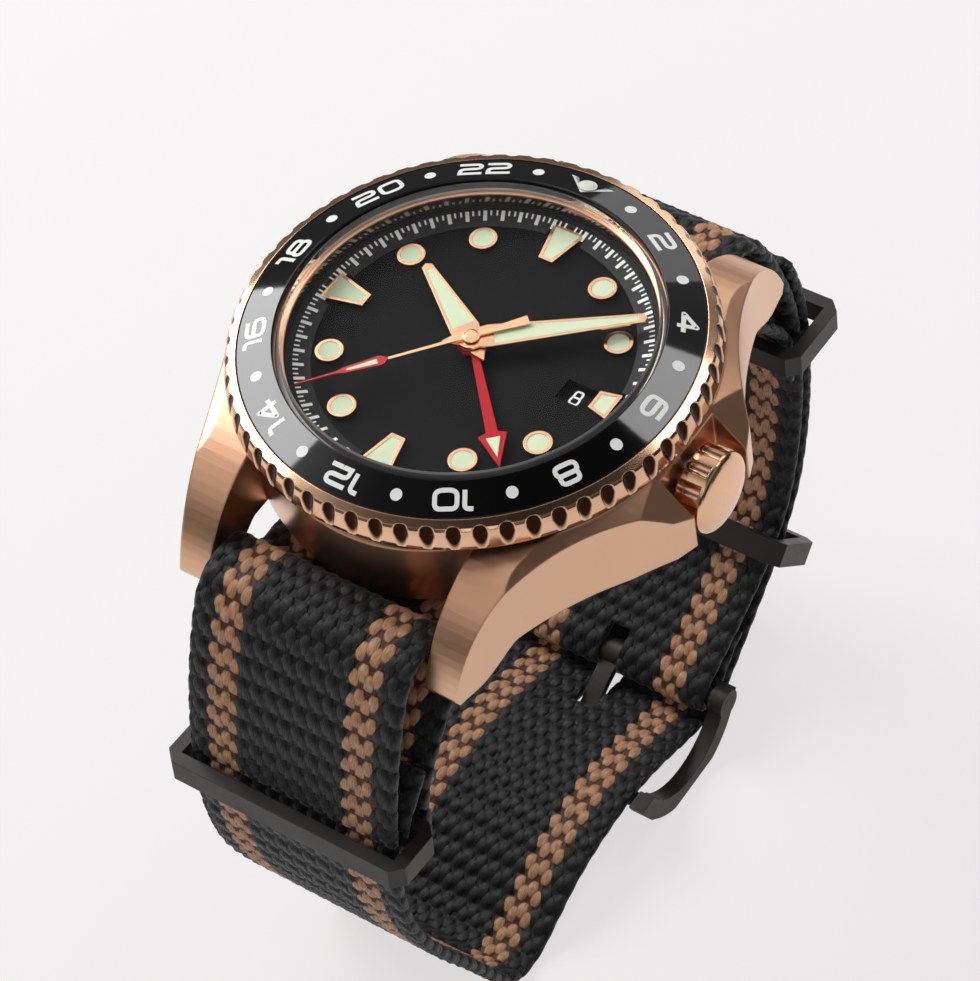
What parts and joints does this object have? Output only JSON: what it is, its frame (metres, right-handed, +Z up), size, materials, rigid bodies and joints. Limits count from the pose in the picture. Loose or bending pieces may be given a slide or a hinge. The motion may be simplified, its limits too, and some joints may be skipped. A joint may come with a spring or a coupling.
{
  "type": "dive watch",
  "caption": "Dive wristwatch with a turning numbered bezel, date window, extra 24-hour hand, automatic movement and a striped woven strap closed with a buckle.",
  "frame": {"origin": "on the ground, in the middle of the flat seat on which the closed strap stands; the dial's centre is 19.7 mm further towards 12 o'clock and 63 mm up", "axes": "+Z up, out of the dial; +Y towards 12 o'clock; +X towards 3 o'clock and the crown"},
  "size_m": [0.0467, 0.0738, 0.0667],
  "materials": {
    "gold": "brushed and polished rose gold",
    "steel": "brushed",
    "dark_steel": "matte black coating",
    "sapphire": "polished",
    "black_ceramic": "polished",
    "lume": "matt",
    "red_metal": "satin",
    "dial_black": "matt",
    "track_grey": "matt",
    "rehaut": "polished",
    "seal": "matt",
    "nylon_seal": "matt",
    "brass_train": "satin",
    "plate": "satin, plated",
    "spring_blue": "blued",
    "date_black": "matt",
    "webbing": "woven nylon"
  },
  "bodies": {
    "case": {"case_middle": "gold", "case_back": "steel", "case_back_gasket": "seal", "crystal": "sapphire", "crystal_gasket": "nylon_seal", "rehaut_ring": "rehaut", "bezel_spring": "steel", "crown_tube": "steel", "spring_bar_tubes": "steel", "spring_bar_pins": "steel", "dial": "dial_black", "minute_track_ring": "track_grey", "hour_marker_frames": "gold", "hour_marker_lume": "lume", "movement_ring": "nylon_seal", "casing_clamps": "steel", "movement_screws": "steel", "main_plate": "plate", "train_bridge": "plate", "balance_cock": "plate", "pallet_bridge": "plate", "main_strap": "webbing", "under_strap": "webbing", "keeper_front": "dark_steel", "keeper_upper": "dark_steel", "buckle_bar": "dark_steel"},
    "bezel": {"bezel_ring": "gold", "bezel_insert": "black_ceramic", "bezel_lume_pip": "lume"},
    "winding": {"winding_pinion": "steel", "sliding_pinion": "steel"},
    "crown_stem": {"crown": "gold", "crown_gasket": "seal", "winding_stem": "steel"},
    "seconds": {"fourth_wheel": "brass_train", "second_hand": "gold", "second_hand_lume": "lume"},
    "minutes": {"centre_wheel": "brass_train", "cannon_pinion": "steel", "minute_hand": "gold", "minute_hand_lume": "lume"},
    "third": {"third_wheel": "brass_train"},
    "escape": {"escape_wheel": "steel"},
    "mainspring_barrel": {"barrel": "brass_train"},
    "minute_work": {"minute_wheel": "brass_train"},
    "hours": {"hour_wheel": "brass_train", "hour_hand": "gold", "hour_hand_lume": "lume"},
    "gmt": {"gmt_wheel": "brass_train", "gmt_hand": "red_metal", "gmt_hand_lume": "lume"},
    "date_driver": {"date_driving_wheel": "brass_train"},
    "date": {"date_disc": "date_black"},
    "pallet": {"pallet_fork": "steel"},
    "balance": {"balance_wheel": "brass_train", "hairspring": "spring_blue"},
    "winding_rotor": {"rotor": "plate"},
    "buckle": {"buckle_frame": "dark_steel"},
    "tongue": {"buckle_tongue": "dark_steel"},
    "keeper": {"keeper_floating": "dark_steel"}
  },
  "joints": [
    {"name": "bezel_turn", "type": "hinge", "parent": "case", "child": "bezel", "pos_m": [0, 0.0197, 0.063], "axis": [0, 0, 1], "continuous": true},
    {"name": "crown_turn", "type": "hinge", "parent": "case", "child": "winding", "pos_m": [0.0108, 0.0197, 0.0582], "axis": [1, 0, 0], "continuous": true},
    {"name": "crown_pull", "type": "slide", "parent": "winding", "child": "crown_stem", "axis": [1, 0, 0], "range_m": [0, 0.0014]},
    {"name": "seconds_turn", "type": "hinge", "parent": "case", "child": "seconds", "pos_m": [0, 0.0197, 0.063], "axis": [0, 0, -1], "continuous": true},
    {"name": "minutes_turn", "type": "hinge", "parent": "case", "child": "minutes", "pos_m": [0, 0.0197, 0.063], "axis": [0, 0, -1], "continuous": true},
    {"name": "third_turn", "type": "hinge", "parent": "case", "child": "third", "pos_m": [-0.00344, 0.01729, 0.063], "axis": [0, 0, -1], "continuous": true},
    {"name": "escape_turn", "type": "hinge", "parent": "case", "child": "escape", "pos_m": [0.00208, 0.0161, 0.063], "axis": [0, 0, -1], "continuous": true},
    {"name": "barrel_turn", "type": "hinge", "parent": "case", "child": "mainspring_barrel", "pos_m": [-0.00097, 0.02521, 0.063], "axis": [0, 0, -1], "continuous": true},
    {"name": "minute_wheel_turn", "type": "hinge", "parent": "case", "child": "minute_work", "pos_m": [-0.00193, 0.022, 0.063], "axis": [0, 0, -1], "continuous": true},
    {"name": "hours_turn", "type": "hinge", "parent": "case", "child": "hours", "pos_m": [0, 0.0197, 0.063], "axis": [0, 0, -1], "continuous": true},
    {"name": "gmt_turn", "type": "hinge", "parent": "case", "child": "gmt", "pos_m": [0, 0.0197, 0.063], "axis": [0, 0, -1], "continuous": true},
    {"name": "date_driver_turn", "type": "hinge", "parent": "case", "child": "date_driver", "pos_m": [-0.00343, 0.01561, 0.063], "axis": [0, 0, -1], "continuous": true},
    {"name": "date_turn", "type": "hinge", "parent": "case", "child": "date", "pos_m": [0, 0.0197, 0.063], "axis": [0, 0, -1], "continuous": true},
    {"name": "pallet_rock", "type": "hinge", "parent": "case", "child": "pallet", "pos_m": [0.00085, 0.01385, 0.063], "axis": [0, 0, 1], "range_deg": [-5, 5]},
    {"name": "balance_swing", "type": "hinge", "parent": "case", "child": "balance", "pos_m": [-0.0016, 0.0127, 0.063], "axis": [0, 0, 1], "range_deg": [-150, 150], "stiffness_Nm_per_rad": 0.0000002},
    {"name": "rotor_turn", "type": "hinge", "parent": "case", "child": "winding_rotor", "pos_m": [0, 0.0197, 0.063], "axis": [0, 0, 1], "continuous": true},
    {"name": "buckle_tilt", "type": "hinge", "parent": "case", "child": "buckle", "pos_m": [0, 0.0323, 0.0046], "axis": [1, 0, 0], "range_deg": [0, 6]},
    {"name": "tongue_tilt", "type": "hinge", "parent": "buckle", "child": "tongue", "pos_m": [0, 0.0323, 0.0046], "axis": [1, 0, 0], "range_deg": [0, 5]},
    {"name": "keeper_slide", "type": "slide", "parent": "case", "child": "keeper", "axis": [0, 0.6919, 0.7219], "range_m": [-0.0015, 0.0015]}
  ],
  "couplings": [
    {"joint": "minutes_turn", "follows": "seconds_turn", "ratio": 0.016667},
    {"joint": "third_turn", "follows": "seconds_turn", "ratio": -0.13333},
    {"joint": "escape_turn", "follows": "seconds_turn", "ratio": -10},
    {"joint": "barrel_turn", "follows": "seconds_turn", "ratio": -0.0020833},
    {"joint": "minute_wheel_turn", "follows": "seconds_turn", "ratio": -0.0055556},
    {"joint": "hours_turn", "follows": "seconds_turn", "ratio": 0.0013889},
    {"joint": "gmt_turn", "follows": "seconds_turn", "ratio": 0.00069444},
    {"joint": "date_driver_turn", "follows": "seconds_turn", "ratio": -0.00069444},
    {"joint": "date_turn", "follows": "seconds_turn", "ratio": -0.000022401}
  ]
}
